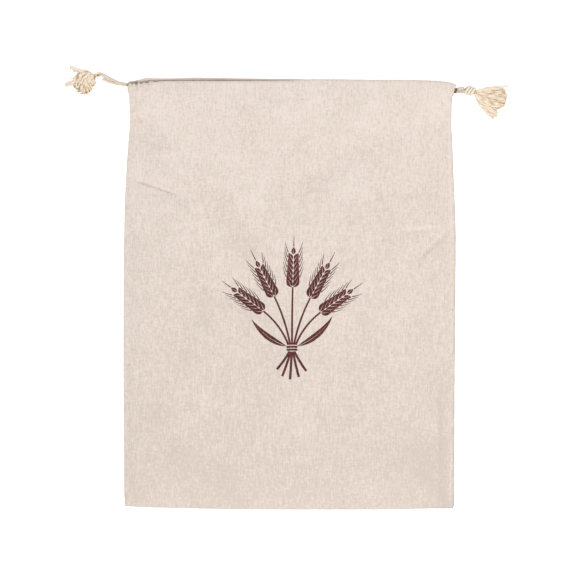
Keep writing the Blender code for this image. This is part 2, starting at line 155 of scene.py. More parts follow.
# Soft creases of the front: both ends, half width, depth (a ridge is a negative depth)
CREASES = np.array([
    (-149.0, 108.0, -103.0, 91.0, 7.0, 0.8),
    (145.0, 56.0, 108.0, 34.0, 6.0, 0.8),
    (-87.0, 4.0, 0.0, -20.0, 12.0, 0.8),
    (-76.0, 18.0, -46.0, 2.0, 18.0, 0.5),
    (10.0, 100.0, 74.0, 141.0, 15.0, 0.7),
    (-70.0, -64.0, -60.0, -82.0, 14.0, 0.6),
    (136.5, -98.0, 139.0, -192.0, 4.0, -0.7),
    (-144.0, 161.0, -132.0, 158.0, 6.0, 1.0),
    (-40.0, 150.0, -96.0, 60.0, 16.0, -0.5),
    (60.0, -60.0, 20.0, -150.0, 18.0, 0.5),
])

# Gathers beside the left casing end, puckers at its stitching, sharp creases and the ridges that the
# seams make along the sides: both ends, half width, height (a trough is a negative height)
GATHERS = np.array([
    (-147.2, 187.0, -145.2, 191.4, 1.4, 2.2),
    (-143.2, 187.8, -141.6, 192.0, 1.2, 2.1),
    (-139.2, 186.6, -137.6, 190.8, 1.3, 2.2),
    (-135.4, 187.6, -132.6, 190.8, 1.2, 1.8),
    (-130.6, 186.6, -127.0, 192.4, 1.6, 1.3),
    (-147.0, 166.0, -138.0, 166.8, 2.4, 1.7),
    (-146.6, 160.2, -142.6, 160.8, 1.8, -2.0),
    (-138.4, 160.9, -134.0, 160.2, 2.0, -2.0),
    (-147.0, 175.0, -140.0, 174.0, 2.2, 0.7),
    (-146.0, 107.0, -106.0, 93.6, 3.2, -1.2),
    (144.0, 61.0, 96.0, 56.4, 3.0, -0.9),
    (144.6, 57.2, 120.0, 33.6, 3.0, -1.3),
    (-84.0, 6.0, -6.0, -18.0, 10.0, -1.5),
    (-66.0, 72.0, -40.0, 50.0, 13.0, -2.0),
    (12.0, 101.0, 72.0, 142.0, 12.0, -1.5),
    (138.0, -96.0, 140.2, -194.0, 3.8, -2.0),
    (141.0, 186.4, 148.0, 183.6, 1.8, 0.6),
    (147.6, 178.0, 147.6, 128.0, 1.6, 1.1),
    (148.0, 126.0, 149.8, 44.0, 1.6, 1.1),
    (150.0, 30.0, 149.4, -80.0, 1.8, 0.6),
    (-150.2, 60.0, -150.6, -60.0, 1.8, 0.3),
])
LIP_PUSH = 0.5

# Sharp creases along the bottom of some of those, and painted highlights on the crests beside
# them: both ends, half width, and how deep the crease or how pale the highlight is
SHARP_CREASES = (
    (-143.5, 105.0, -103.5, 91.4, 1.0, 9.0),
    (145.4, 56.4, 118.4, 31.0, 1.5, 6.0),
    (118.0, 33.0, 123.0, 14.0, 1.2, 6.0),
    (141.0, 60.8, 104.0, 56.0, 1.6, 3.0),
)
CREST_HIGHLIGHTS = (
    (-143.5, 106.6, -103.5, 93.0, 0.9, 0.65),
    (144.0, 58.8, 117.0, 33.6, 1.2, 0.4),
    (139.0, 62.8, 98.0, 58.2, 1.4, 0.4),
    (-139.0, 163.4, -133.0, 163.0, 1.2, 0.5),
)

# Painted light and shade on the cloth: paler stretches painted as light down the sides and on the back's
# hem at the mouth, darker ones painted as shade in troughs and creases of the front: both ends, half width,
# how much paler
PAINTED_LIGHT_AND_SHADE = np.array([
    (147.9, 180.0, 147.4, 120.0, 1.0, 0.55),
    (147.4, 120.0, 149.2, 50.0, 1.0, 0.45),
    (149.2, 50.0, 149.4, -80.0, 1.0, 0.25),
    (149.0, -90.0, 148.8, -190.0, 1.2, 0.25),
    (138.6, -84.0, 141.0, -190.0, 2.8, -0.34),
    (128.0, -140.0, 131.0, -180.0, 5.0, -0.18),
    (-84.0, 12.0, -78.0, -22.0, 12.0, -0.22),
    (-62.0, 84.0, -42.0, 42.0, 12.0, -0.16),
    (-134.0, 156.0, -122.0, 128.0, 8.0, -0.12),
    (20.0, 100.0, 62.0, 132.0, 10.0, -0.14),
    (-106.0, -150.0, -40.0, -186.0, 16.0, -0.12),
    (70.0, -20.0, 84.0, -70.0, 9.0, -0.14),
    (118.0, -150.0, 138.0, -192.0, 13.0, -0.2),
    (-150.4, 165.0, -152.4, 60.0, 2.6, 0.3),
    (-152.4, 60.0, -152.0, -180.0, 2.6, 0.25),
    (-142.0, 197.4, -112.0, 198.2, 1.6, 0.6),
    (-112.0, 198.2, 10.0, 198.2, 1.6, 0.5),
])

# Small ridges of the back behind the front's lip, of its cloth beside the casing and of its hem
BACK_RIDGES = np.array([
    (-151.0, 193.4, -147.0, 194.4, 2.2, 2.8),
    (-144.4, 194.8, -141.0, 195.8, 2.4, 3.2),
])
HEM_RIDGES = np.array([
    (-140.0, 195.4, -131.0, 197.6, 1.7, 2.6),
    (-131.0, 197.6, -112.0, 197.4, 1.7, 3.4),
    (-112.0, 197.4, -60.0, 198.4, 1.5, 2.4),
    (-60.0, 198.2, 18.0, 197.2, 1.4, 2.0),
    (-103.6, 196.4, -101.4, 198.8, 1.8, -1.6),
    (-79.0, 197.4, -76.0, 199.0, 2.0, -1.1),
    (-47.0, 196.8, -44.0, 198.4, 2.0, -1.0),
])

# The right casing end gapes a little: place up the side, half width of the gap, how far it is open
GAPE = (187.2, 3.0, 2.8)
GAPE_REACH = 2.6

# Deep shade on the back's hem beside the front's lip: all along, and more round one place. It starts
# between two places up the bag, and ends between two distances past the lip and between two heights
SHADE_ALL = 0.35
SHADE_LEFT = 0.9
SHADE_PLACE = -130.0
SHADE_REACH = 7.0
SHADE_STARTS = (185.0, 190.0)
SHADE_FADES = (0.4, 2.0)
SHADE_TOP = (9.5, 11.5)

# Deep shade inside the right casing end: where it starts across and up the bag, and its top
CASING_SHADE_ACROSS = (147.0, 149.0)
CASING_SHADE_UP = (181.0, 184.0)
CASING_SHADE_TOP = (5.0, 7.0)

# The print, a tied sheaf of five ears: where it is tied, each ear's lean, stem and bend
SHEAF = (2.2, -50.0)
EARS = ((-42.0, 39.0, -12.0), (-21.0, 47.0, -6.0), (0.0, 53.0, 1.5), (22.0, 46.0, 6.5), (43.0, 38.0, 12.0))
EAR_LENGTH = 35.0
GRAIN = (9.8, 5.6)
GRAIN_PAIRS = 6
GRAIN_LEAN = 30.0
RIB = 0.5
AWN = (10.0, 0.9)
STEM = 1.9
FOOT_STEMS = ((-30.0, 20.0), (-16.0, 24.0), (-3.0, 25.5), (11.0, 24.0), (27.0, 21.0))
BLADES = ((-70.0, 42.0, 40.0), (68.0, 44.0, -42.0))
BUNDLE = 3.4
BAND = (10.0, 1.9, 2.6)
BAND_GAP = 3.1
INK_LIFT = 0.03
INK_STEP = 0.008

# The tassels: the knot, the yarn combed out beyond it, and the locks that stick out of it
KNOTS = {
    "left": {
        "middle": (-176.9, 201.8, 3.0),
        "turn": 212.0,
        "yarn_from": 5.0,
        "shade": 0.85,
        "swing": 0.45,
        "cord": 1.9,
        "core": 1.7,
        "core_from": -0.8,
        "core_shade": -0.3,
    },
    "right": {
        "middle": (166.4, 187.2, 4.9),
        "turn": -18.0,
        "yarn_from": 5.0,
        "shade": 0.98,
        "swing": 0.0,
        "cord": 2.5,
        "core": 3.6,
        "core_from": -5.0,
        "core_shade": 0.4,
    },
}

KNOT_SWINGS = 7
CORE_PAST = 1.5

# The left knot is a small loop; the right one has slanting turns
LOOP = (
    (-172.2, 200.6, 2.4), (-173.6, 202.6, 3.0), (-175.4, 203.7, 3.7), (-177.4, 203.6, 4.1),
    (-178.7, 202.4, 3.9), (-178.6, 200.9, 3.4), (-177.3, 200.1, 3.0), (-175.9, 200.5, 2.9),
    (-175.2, 201.8, 3.3), (-176.0, 203.0, 2.6), (-178.0, 203.2, 2.0), (-180.8, 201.4, 2.2),
)
TURNS = {"wraps": 3.2, "wide": 3.5, "high": 3.3, "travel": 8.4, "slant": 0.45, "first_angle": 250.0}

YARNS = {
    "left": {
        "locks": 110,
        "base": 0.12,
        "seed": 4,
        "reaches": (0.4, 1.04),
        "fullness": 0.6,
        "flare": 1.3,
        "height": 5.4,
        "droop": 0.45,
        "crimp": 1.15,
        "crimp_up": 1.0,
        "crimp_length": 5.0,
        "spread": 0.5,
        "strands": 3,
        "lock_radius": 0.95,
        "strand_radius": 0.58,
        "swing": 0.45,
    },
    "right": {
        "locks": 72,
        "base": 0.28,
        "seed": 9,
        "reaches": (0.8, 1.0),
        "fullness": 0.4,
        "flare": 1.6,
        "height": 5.6,
        "droop": 0.35,
        "crimp": 0.5,
        "crimp_up": 0.4,
        "crimp_length": 9.0,
        "spread": 0.35,
        "strands": 4,
        "lock_radius": 1.15,
        "strand_radius": 0.6,
        "swing": 0.2,
    },
}

# How far the yarn reaches from where it leaves the knot: direction, length
FANS = {
    "left": np.array([
        (124.0, 6.0),
        (138.0, 9.6),
        (148.0, 12.6),
        (168.0, 17.4),
        (190.0, 19.4),
        (211.0, 20.8),
        (230.0, 20.7),
        (240.0, 19.8),
        (251.0, 15.8),
        (261.0, 10.4),
        (275.0, 4.6),
    ]),
    "right": np.array([
        (-55.0, 29.4),
        (-47.0, 30.6),
        (-41.0, 29.0),
        (-37.5, 26.4),
        (-33.0, 27.6),
        (-27.4, 30.2),
        (-15.4, 30.8),
        (-6.0, 30.4),
        (2.3, 29.8),
        (9.0, 27.0),
    ]),
}

# Locks that stick out: direction, length, strands in it, height of its tip
STRAY_LOCKS = {
    "left": (
        (156.2, 23.8, 20, 0.9), (160.5, 19.5, 8, 1.2), (194.5, 26.8, 26, 0.9), (181.0, 22.4, 3, 1.0),
    ),
    "right": (
        (11.2, 31.2, 5, 2.4), (8.0, 25.0, 8, 3.4), (-55.0, 30.2, 8, 1.4), (-47.5, 31.2, 7, 1.6),
    ),
}
STRAY_CRIMP = 0.35
YARN_RINGS = 26
STRAND_SIDES = 5

# The free ends of the drawstrings, from the casing to the knot: a front and a back strand each
FREE_ENDS = {
    "left": {
        "front": (
            (-144.9, 189.6, 10.7), (-148.9, 192.4, 9.0), (-152.7, 193.5, 6.8), (-156.6, 194.3, 4.6),
            (-160.8, 196.3, 2.9), (-165.2, 198.4, 1.7), (-168.8, 200.3, 2.0), (-171.6, 201.9, 2.9),
            (-173.7, 202.2, 3.1),
        ),
        "back": (
            (-144.9, 192.9, 2.6), (-149.2, 192.8, 2.6), (-152.6, 193.0, 2.2), (-156.0, 193.4, 1.5),
            (-160.2, 194.0, 1.35), (-164.6, 195.1, 1.35), (-169.2, 196.8, 1.35), (-172.6, 198.6, 1.4),
        ),
    },
    "right": {
        "front": ((149.4, 187.5, 10.6), (153.0, 187.8, 8.9), (156.4, 188.7, 7.3), (160.4, 189.0, 6.0)),
        "back": ((149.4, 186.9, 2.7), (153.0, 186.4, 2.9), (156.4, 186.2, 3.6), (160.4, 186.2, 4.4)),
    },
}

# Tone of the linen between its dark and its light colour, and how much paler each millimetre up is,
# painted as light falling from the top
LINEN_TONE = 0.375
PAINTED_TOP_LIGHT = 0.0013

# Colours, as base colours in a linear scale
LINEN_LIGHT = (0.69, 0.605, 0.543, 1.0)
LINEN_DARK = (0.55, 0.475, 0.418, 1.0)
LINEN_FLECK = (0.30, 0.22, 0.15, 1.0)
# Painted shade along the sewn edges, partly abrasion
LINEN_EDGE_SHADE_AND_WEAR = (0.31, 0.29, 0.25, 1.0)
LINEN_SHADED = (0.33, 0.225, 0.125, 1.0)
INK_DARK = (0.046, 0.010, 0.009, 1.0)
INK_LIGHT = (0.130, 0.032, 0.028, 1.0)
YARN_PALE = (0.75, 0.69, 0.61, 1.0)
YARN_LIGHT = (0.88, 0.745, 0.585, 1.0)
YARN_DARK = (0.37, 0.235, 0.115, 1.0)
# Painted shade in the gaps between locks, in the left knot's loop and at the cords' casing ends
PAINTED_YARN_SHADE = (0.115, 0.065, 0.03, 1.0)
CORD_LIGHT = (0.80, 0.70, 0.59, 1.0)
CORD_DARK = (0.52, 0.42, 0.32, 1.0)
FLOOR = (0.95, 0.95, 0.95)
FLOOR_GLOW = 0.42

# The weave: width of a thread, and how far and how often it wanders
THREAD = 0.6
THREAD_WANDER = 1.2
THREAD_WANDER_RATE = 0.22

# Light: the even white round the object, and a soft box out beyond its lower right
SKY_STRENGTH = 0.70
LAMP_PLACE = (0.42, -0.95, 3.5)
LAMP_SIZE = 2.0
LAMP_POWER = 88.0

# The camera looks straight down from a long way off: the middle of its view and the width it sees
VIEW_MIDDLE = (-1.5, 5.3)
VIEW_WIDTH = 530.0
VIEW_LEVEL = 10.0
CAMERA_HEIGHT = 2200.0
SENSOR = 36.0


def curve_through(table, column, at):
    """Values of one column of a table at the places given, on a smooth curve that never overshoots."""
    xs, ys = table[:, 0], table[:, column]
    slopes = np.diff(ys) / np.diff(xs)
    tangents = np.concatenate([slopes[:1], np.zeros(len(xs) - 2), slopes[-1:]])
    before, after = slopes[:-1], slopes[1:]
    agree = before * after > 0
    total = np.where(agree, before + after, 1.0)
    tangents[1:-1] = np.where(agree, 2 * before * after / total, 0.0)
    at = np.clip(at, xs[0], xs[-1])
    i = np.clip(np.searchsorted(xs, at) - 1, 0, len(xs) - 2)
    span = xs[i + 1] - xs[i]
    t = (at - xs[i]) / span
    return (
        ys[i] * (1 + 2 * t) * (1 - t) ** 2
        + ys[i + 1] * t**2 * (3 - 2 * t)
        + span * (tangents[i] * t * (1 - t) ** 2 - tangents[i + 1] * t**2 * (1 - t))
    )


def left_edge(y):
    return curve_through(SIDE_EDGES, 1, y)


def right_edge(y):
    return curve_through(SIDE_EDGES, 2, y)


def bottom_fold(x):
    return curve_through(END_EDGES, 1, x)


def back_top(x):
    return curve_through(END_EDGES, 2, x)


def front_top(x):
    return curve_through(END_EDGES, 3, x)


def ease(value, start, end):
    """0 at start, 1 at end, with no slope at either."""
    t = np.clip((value - start) / (end - start), 0.0, 1.0)
    return t * t * (3 - 2 * t)


def from_side(x, y):
    return np.minimum(x - left_edge(y), right_edge(y) - x)


def ridges(table, x, y):
    """Height that a table's ridges add, each one round a straight line between its ends."""
    added = np.zeros_like(x)
    for x0, y0, x1, y1, width, height in table:
        along = np.array((x1 - x0, y1 - y0))
        t = np.clip(((x - x0) * along[0] + (y - y0) * along[1]) / (along @ along), 0.0, 1.0)
        away = np.hypot(x - x0 - t * along[0], y - y0 - t * along[1])
        added += height * np.exp(-((away / width) ** 2))
    return added


def front_height(x, y):
    """Height of the front panel's outer face, before its lip turns over."""
    side = np.maximum(from_side(x, y), 0.0)
    below = np.maximum(front_top(x) - y, 0.0)
    above = np.maximum(y - bottom_fold(x), 0.0)
    near_mouth = 1.0 - ease(below, *MOUTH_FADES)
    at_casing = 1.0 - ease(below, *CASING_FADES)
    crown = MIDDLE_RISE + (MOUTH_RISE - MIDDLE_RISE) * near_mouth
    edge = SEAM_RISE + (CASING_END_RISE - SEAM_RISE) * at_casing
    slope = SIDE_SLOPE + (MOUTH_SIDE_SLOPE - SIDE_SLOPE) * at_casing
    across = edge + (crown - edge) * (1 - np.exp(-side / slope))
    height = SEAM_RISE + (across - SEAM_RISE) * (1 - np.exp(-above / BOTTOM_SLOPE))
    sewn = np.minimum(side + OPEN_END_WIDTH * at_casing, above)
    height -= EDGE_ROUND * np.exp(-sewn / EDGE_REACH)
    settled = (1 - np.exp(-side / CREASE_MARGIN)) * (1 - np.exp(-above / CREASE_MARGIN))
    return height - ridges(CREASES, x, y) * settled * ease(below, *CREASES_START)


def casing_room(below):
    """Height of the space inside a casing: a round one for the cords, nearly flat under them."""
    return CASING_FLAT + (CASING_ROOM - CASING_FLAT) * (1 - ease(below, *ROOM_CLOSES))


def stations(near, between):
    """Grid lines, as shares of a width and distances added to them: close ones at each end."""
    shares = [0.0] * len(near)
    offsets = list(near)
    for k in range(1, between):
        share = k / between
        shares.append(share)
        offsets.append(near[-1] * (1 - 2 * share))
    shares += [1.0] * len(near)
    offsets += [-distance for distance in reversed(near)]
    return np.array(shares), np.array(offsets)


def row_across(columns, up):
    """x and y of one row of the cloth's grid, which lies at y = up(x)."""
    shares, offsets = columns
    x = left_edge(0.0) * (1 - shares) + right_edge(0.0) * shares + offsets
    for _ in range(2):
        y = up(x)
        x = left_edge(y) * (1 - shares) + right_edge(y) * shares + offsets
    return x, up(x)


def seam_line(x):
    return np.minimum(front_top(x), back_top(x)) - SEAM_FOOT


def rounded(x, y, flat, below):
    """Height of a panel's middle surface, drawn in to the seam at the sewn edges."""
    from_edge = np.minimum(from_side(x, y), y - bottom_fold(x)) - CLOTH / 2
    turn = np.clip(from_edge / SEAM_ROUND, 0.0, 1.0)
    drawn = SEAM_MIDDLE + (flat - SEAM_MIDDLE) * np.sqrt(1 - (1 - turn) ** 2)
    sewn = ease(below, SEAM_OPENS, SEAM_FOOT)
    return flat + (drawn - flat) * sewn


def dressed_height(x, y):
    """Height of the front panel's outer face with its small gathers."""
    return front_height(x, y) + ridges(GATHERS, x, y)


def gaping(x, y):
    """How far the front's cloth draws back from its edge at the right casing end."""
    place, width, opened = GAPE
    near = np.exp(-(((y - place) / width) ** 2))
    return opened * near * np.exp(-np.maximum(right_edge(y) - x, 0.0) / GAPE_REACH)


def front_row(columns, up):
    x, y = row_across(columns, up)
    height = rounded(x, y, dressed_height(x, y) - CLOTH / 2, front_top(x) - y)
    return x - gaping(x, y), y, height


def back_row(columns, up):
    x, y = row_across(columns, up)
    return x, y, rounded(x, y, CLOTH / 2 + ridges(BACK_RIDGES, x, y), back_top(x) - y)


def front_hem_row(columns, below):
    x, y = row_across(columns, lambda across: front_top(across) - below)
    return x, y, front_height(x, y) - 1.5 * CLOTH - casing_room(np.full_like(x, below))


def back_hem_row(columns, below):
    x, y = row_across(columns, lambda across: back_top(across) - below)
    return x, y, 1.5 * CLOTH + casing_room(np.full_like(x, below)) + ridges(HEM_RIDGES, x, y)


def front_lip_row(columns, angle):
    """A row round the front's hemmed top edge: 90 degrees is its upper layer, -90 its lower one."""
    x, y = row_across(columns, lambda across: front_top(across) - LIP_RADIUS)
    gathered = ridges(GATHERS, x, y)
    height = front_height(x, y) + gathered - CLOTH / 2 - LIP_RISE + LIP_RISE * math.sin(angle)
    out = (LIP_RADIUS - CLOTH / 2) * math.cos(angle)
    y += out * (1 + LIP_PUSH * gathered)
    return x - gaping(x, y), y, height


def back_lip_row(columns, angle):
    """A row round the back's hemmed top edge: -90 degrees is its lower layer, 90 its upper one."""
    out = (LIP_RADIUS - CLOTH / 2) * math.cos(angle)
    x, y = row_across(columns, lambda across: back_top(across) - LIP_RADIUS + out)
    upper = (1 + math.sin(angle)) / 2
    height = CLOTH / 2 + LIP_RISE * (1 + math.sin(angle)) + ridges(HEM_RIDGES, x, y) * upper
    return x, y, height + ridges(BACK_RIDGES, x, y)


def cloth_rows(columns):
    """The cut of linen from one hem to the other: rows of points, and which of them are hem."""
    hem_depths = np.linspace(HEM_DEPTH, LIP_RADIUS, HEM_ROWS)
    angles = np.radians(np.linspace(-90, 90, LIP_STEPS + 2))[1:-1]
    downs = np.linspace(0.0, 1.0, FRONT_CASING_ROWS)
    ups = np.linspace(0.0, 1.0, FRONT_ROWS) ** 1.1
    back_downs = np.linspace(0.0, 1.0, BACK_CASING_ROWS)
    back_ups = np.linspace(0.0, 1.0, BACK_ROWS) ** 1.6

    def between(low, high, share):
        return lambda across: low(across) * (1 - share) + high(across) * share

    def below_lip(top):
        return lambda across: top(across) - LIP_RADIUS

    def bottom(across):
        return bottom_fold(across) + CLOTH / 2

    rows = [(front_hem_row(columns, below), True) for below in hem_depths]
    rows += [(front_lip_row(columns, angle), angle < 0) for angle in angles]
    front = [between(below_lip(front_top), seam_line, share) for share in downs]
    front += [between(bottom, seam_line, share) for share in ups[::-1][1:]]
    back = [between(bottom, seam_line, share) for share in back_ups[1:]]
    back += [between(seam_line, below_lip(back_top), share) for share in back_downs[1:]]
    rows += [(front_row(columns, up), False) for up in front]
    rows += [(back_row(columns, up), False) for up in back]
    rows += [(back_lip_row(columns, angle), angle > 0) for angle in angles]
    rows += [(back_hem_row(columns, below), True) for below in hem_depths[::-1]]
    return rows


def under_lip(x, y, z):
    """How much of the back's hem is in the deep shade beside the front's lip: most near the left end."""
    deepest = SHADE_ALL + SHADE_LEFT * np.exp(-(((x - SHADE_PLACE) / SHADE_REACH) ** 2))
    beside = ease(y, *SHADE_STARTS) * (1 - ease(y - front_top(x), *SHADE_FADES))
    return deepest * beside * (1 - ease(z, *SHADE_TOP))


def in_casing_end(x, y, z):
    """How much of the back panel is in the deep shade inside the right casing end."""
    inward = ease(x, *CASING_SHADE_ACROSS) * ease(y, *CASING_SHADE_UP)
    return inward * (1 - ease(z, *CASING_SHADE_TOP))


def make_cloth():
    """The bag's linen as one thin sheet, folded at the bottom and hemmed at both ends."""
    columns = stations(NEAR_COLUMNS, COLUMNS)
    rows = cloth_rows(columns)
    hem_column = NEAR_COLUMNS.index(HEM_END)
    inside_hem = (hem_column, len(columns[0]) - 1 - hem_column)
    mesh = bpy.data.meshes.new("bag_linen")
    bm = bmesh.new()
    edge_shade_and_wear = bm.verts.layers.float.new("edge_shade_and_wear")
    shade = bm.verts.layers.float.new("shade")
    tone = bm.verts.layers.float.new("tone")
    points = []
    for (x, y, z), _ in rows:
        points.append([bm.verts.new(METRES * Vector(place)) for place in zip(x, y, z, strict=True)])
        from_edge = np.minimum(from_side(x, y), y - bottom_fold(x)) - CLOTH / 2
        # Painted shade along the sewn edges, partly their abrasion, stronger towards the right one
        edge_darkening = EDGE_SHADE_AND_WEAR_LEAST + (1 - EDGE_SHADE_AND_WEAR_LEAST) * ease(x, *EDGE_SHADE_AND_WEAR_GROWS)
        edge_shaded_and_worn = np.exp(-((np.maximum(from_edge, 0.0) / EDGE_SHADE_AND_WEAR_WIDTH) ** 2)) * edge_darkening
        shaded = np.maximum(under_lip(x, y, z), in_casing_end(x, y, z))
        # Painted light and shade: paler stretches as light on ridges and edges, darker ones as shade in
        # troughs and creases
        tones = ridges(PAINTED_LIGHT_AND_SHADE, x, y)
        for vert, edge_dark, dark, pale in zip(points[-1], edge_shaded_and_worn, shaded, tones, strict=True):
            vert[edge_shade_and_wear], vert[shade], vert[tone] = edge_dark, dark, pale
    for j in range(len(rows) - 1):
        hem = rows[j][1] or rows[j + 1][1]
        first, last = inside_hem if hem else (0, len(columns[0]) - 1)
        for i in range(first, last):
            bm.faces.new((points[j][i], points[j + 1][i], points[j + 1][i + 1], points[j][i + 1]))
    loose = [vert for vert in bm.verts if not vert.link_faces]
    bmesh.ops.delete(bm, geom=loose, context="VERTS")
    bmesh.ops.remove_doubles(bm, verts=bm.verts[:], dist=METRES * 0.01)
    bmesh.ops.recalc_face_normals(bm, faces=bm.faces[:])
    bm.to_mesh(mesh)
    bm.free()
    mesh.shade_smooth()
    cloth = add_piece("bag_linen", mesh)
    thickness = cloth.modifiers.new("cloth thickness", "SOLIDIFY")
    thickness.thickness = METRES * VISIBLE_CLOTH
    thickness.offset = 0.0
    return cloth


def heading(degrees):
    """The direction so many degrees clockwise from straight up the bag."""
    return np.array((math.sin(math.radians(degrees)), math.cos(math.radians(degrees))))


def bent_line(start, lean, length, bend, points=9):
    """Points along a stroke that starts at a lean and turns by a bend, and its lean at the end."""
    leans = lean + bend * np.linspace(0.0, 1.0, points)
    steps = np.array([heading(value) for value in leans[:-1]]) * length / (points - 1)
    return np.vstack([start, start + np.cumsum(steps, axis=0)]), leans[-1]


def add_stroke(bm, line, low, high, level):
    """A stroke of ink between two distances to the right of its line, one of a stack of levels."""
    along = np.gradient(line, axis=0)
    along /= np.linalg.norm(along, axis=1)[:, None]
    right = np.column_stack([along[:, 1], -along[:, 0]])
    rows = []
    for offset in (low, high):
        place = line + right * offset[:, None]
        height = dressed_height(place[:, 0], place[:, 1]) + INK_LIFT + INK_STEP * level
        rows.append([bm.verts.new(METRES * Vector(point)) for point in np.column_stack([place, height])])
    for k in range(len(line) - 1):
        bm.faces.new((rows[0][k], rows[1][k], rows[1][k + 1], rows[0][k + 1]))


def add_line(bm, line, width, tip, level):
    half = width / 2 * np.linspace(1.0, tip, len(line))
    add_stroke(bm, line, -half, half, level)


def add_grain(bm, start, lean, size, bend, level):
    """A pointed grain or leaf in two halves, with a bare rib between them."""
    length, width = size
    line, _ = bent_line(start, lean, length, bend)
    t = np.linspace(0.0, 1.0, len(line))
    half = width / 2 * np.sin(np.pi * t**0.8) + 0.02
    rib = np.minimum(RIB / 2 * (1 - t), half * 0.8)
    add_stroke(bm, line, -half, -rib, level)
    add_stroke(bm, line, rib, half, level)


def add_ear(bm, start, lean):
    """An ear of corn: pairs of grains up a stem, each with its awn, and one grain at the tip."""
    step = EAR_LENGTH / (GRAIN_PAIRS + 1)
    for pair in range(GRAIN_PAIRS + 1):
        base = start + heading(lean) * step * pair
        length, width = (1 - 0.05 * pair) * np.array(GRAIN)
        sides = (-1, 1) if pair < GRAIN_PAIRS else (0,)
        for side in sides:
            tilt = lean + side * GRAIN_LEAN
            foot = base + heading(lean + 90 * side) * 0.9 * abs(side)
            level = 2 * pair + (side > 0)
            add_grain(bm, foot, tilt, (length, width), 0.0, level)
            tip = foot + heading(tilt) * (length + 0.6)
            awn, _ = bent_line(tip, tilt - side * 6, AWN[0], -side * 12)
            add_line(bm, awn, AWN[1], 0.3, level + 1)


def make_print():
    """The dark print on the front: ears of corn in a sheaf, with a band round their stems."""
    bm = bmesh.new()
    tie = np.array(SHEAF)
    most = EARS[-1][0]
    for level, (lean, stem, bend) in enumerate(EARS):
        start = tie + np.array((BUNDLE * lean / most, BAND_GAP))
        line, end_lean = bent_line(start, lean * 0.55, stem, lean * 0.45 + bend)
        add_line(bm, line, STEM, 0.8, level)
        add_ear(bm, line[-1], end_lean)
    for level, (lean, length) in enumerate(FOOT_STEMS, 5):
        start = tie + np.array((BUNDLE * lean / most, -BAND_GAP))
        line, _ = bent_line(start, 180 - lean, length, -0.4 * lean)
        add_line(bm, line, STEM * 1.15, 1.0, level)
    for level, (lean, length, bend) in enumerate(BLADES, 10):
        add_grain(bm, tie + heading(lean) * 5.0, lean, (length, GRAIN[1]), bend, level)
    width, thickness, pitch = BAND
    for level, k in enumerate((-0.5, 0.5), 12):
        start = tie + np.array((-width / 2, k * pitch - 0.4))
        line, _ = bent_line(start, 82.0, width, 16.0)
        add_line(bm, line, thickness, 1.0, level)
    return make_piece("sheaf_print", bm)


def add_piece(name, data):
    piece = bpy.data.objects.new(name, data)
    bpy.context.scene.collection.objects.link(piece)
    return piece


def smooth_route(points, steps):
    """Points on a smooth curve through the route's own points."""
    points = np.array(points, float)
    ends = (2 * points[0] - points[1], 2 * points[-1] - points[-2])
    padded = np.vstack([ends[0], points, ends[1]])
    route = []
    for k in range(1, len(padded) - 2):
        a, b, c, d = padded[k - 1 : k + 3]
        for step in range(steps):
            t = step / steps
            route.append(
                0.5 * (2 * b + (c - a) * t + (2 * a - 5 * b + 4 * c - d) * t**2
                       + (3 * b - a - 3 * c + d) * t**3)
            )
    route.append(points[-1])
    return np.array(route)


def evenly(route, spacing):
    """The same line with its points a fixed distance apart."""
    lengths = np.concatenate([[0.0], np.cumsum(np.linalg.norm(np.diff(route, axis=0), axis=1))])
    at = np.linspace(0.0, lengths[-1], max(int(round(lengths[-1] / spacing)), 2) + 1)
    return np.column_stack([np.interp(at, lengths, route[:, axis]) for axis in range(3)])


def casing_run(side, panel):
    """The stretch of a drawstring inside one panel's casing, from its own side to the far one."""
    station = CORD_STATION[side]
    far = HEM_END - CASING_END_GAP
    low, high = left_edge(MOUTH_PLACES[0]) + far, right_edge(MOUTH_PLACES[1]) - far
    if side == "left":
        x = np.concatenate([[low + ENTRY, low + LEAD], CASING_PLACES, [high - LEAD, high]])
    else:
        x = np.concatenate([[low, low + LEAD], CASING_PLACES, [high - LEAD, high - ENTRY]])[::-1]
    if panel == "front":
        y = front_top(x) - station
        z = front_height(x, y) - CLOTH - CASING_ROOM / 2
    else:
        y = back_top(x) - station
        z = np.full_like(x, CLOTH + CASING_ROOM / 2)
    return np.column_stack([x, y, z])


def drawstring_route(side):
    """From the knot through the front casing, round at the far side and back through the back one."""
    front, back = casing_run(side, "front"), casing_run(side, "back")
    outward = np.array((TURN_REACH if side == "left" else -TURN_REACH, 0.0, 0.0))
    middle, half = (front[-1] + back[-1]) / 2, (front[-1] - back[-1]) / 2
    turn = [
        middle + half * math.cos(math.radians(angle)) + outward * math.sin(math.radians(angle))
        for angle in TURN_ANGLES
    ]
    free = FREE_ENDS[side]
    return [*reversed(free["front"]), *front, *turn, *back[::-1], *free["back"]]


def frames_along(line):
    """Two directions across a line at each of its points, carried along it without twisting."""
    along = np.gradient(line, axis=0)
    along /= np.linalg.norm(along, axis=1)[:, None]
    first = np.cross(along[0], (0.0, 0.0, 1.0))
    if np.linalg.norm(first) < 0.1:
        first = np.cross(along[0], (1.0, 0.0, 0.0))
    across = [first / np.linalg.norm(first)]
    for direction in along[1:]:
        kept = across[-1] - direction * (across[-1] @ direction)
        across.append(kept / np.linalg.norm(kept))
    across = np.array(across)
    return across, np.cross(along, across)


